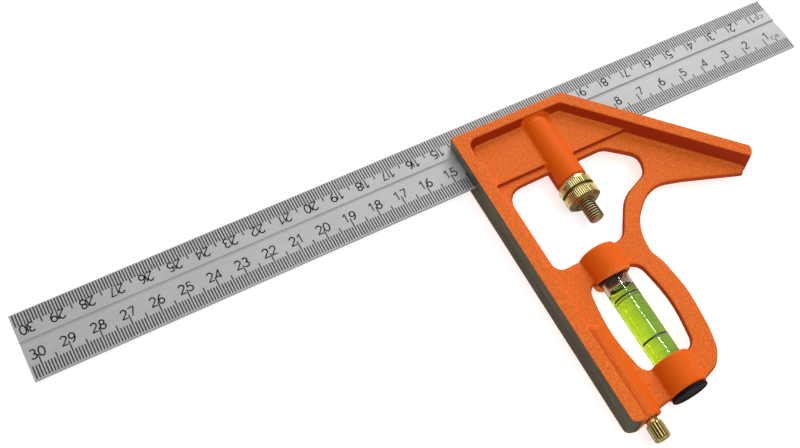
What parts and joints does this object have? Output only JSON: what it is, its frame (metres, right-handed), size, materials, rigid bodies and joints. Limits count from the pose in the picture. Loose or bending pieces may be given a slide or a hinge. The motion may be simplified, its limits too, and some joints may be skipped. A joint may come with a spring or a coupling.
{
  "type": "combination square",
  "caption": "Combination square: grooved steel rule sliding in a cast head with 90 and 45 degree faces, clamp bolt and knurled nut, spirit vial and scriber.",
  "frame": {"origin": "middle of the whole tool's box in plan, at the height of its lowest point: the square lies flat on its side", "axes": "+X along the rule towards its zero end, +Y across the rule towards the head's top edge, +Z out of the rule's grooved face"},
  "size_m": [0.304, 0.1336, 0.0146],
  "materials": {
    "rule_steel": "satin",
    "head_paint": "fine textured powder coat",
    "bolt_metal": "dull plated thread",
    "spring_steel": "drawn wire",
    "brass_polished": "polished and knurled",
    "vial_acrylic": "clear, polished",
    "vial_fluid": "clear yellow-green liquid",
    "stopper_plastic": "plain",
    "plug_rubber": "matte",
    "needle_steel": "hardened and ground"
  },
  "bodies": {
    "head": {"head_casting": "head_paint", "vial_body": "vial_acrylic", "vial_liquid": "vial_fluid", "vial_stopper": "stopper_plastic", "vial_retaining_plug": "plug_rubber", "scriber_bushing": "brass_polished", "clamp_spring": "spring_steel"},
    "rule": {"rule": "rule_steel"},
    "bolt": {"clamp_bolt": "bolt_metal"},
    "nut": {"clamp_nut": "brass_polished"},
    "scriber": {"scriber_needle": "needle_steel", "scriber_knob": "brass_polished"}
  },
  "joints": [
    {"name": "rule_slide", "type": "slide", "parent": "head", "child": "rule", "axis": [1, 0, 0], "range_m": [-0.1, 0.18]},
    {"name": "nut_turn", "type": "hinge", "parent": "head", "child": "nut", "pos_m": [0.0398, 0.0238, 0.0073], "axis": [0, -1, 0], "range_deg": [0, 270]},
    {"name": "bolt_travel", "type": "slide", "parent": "head", "child": "bolt", "axis": [0, 1, 0], "range_m": [0, 0.00076], "deforming": ["clamp_spring"]},
    {"name": "scriber_pull", "type": "slide", "parent": "head", "child": "scriber", "axis": [0, -1, 0], "range_m": [0, 0.045]}
  ],
  "couplings": [
    {"joint": "bolt_travel", "follows": "nut_turn", "m_per_rad": 0.00015915}
  ]
}
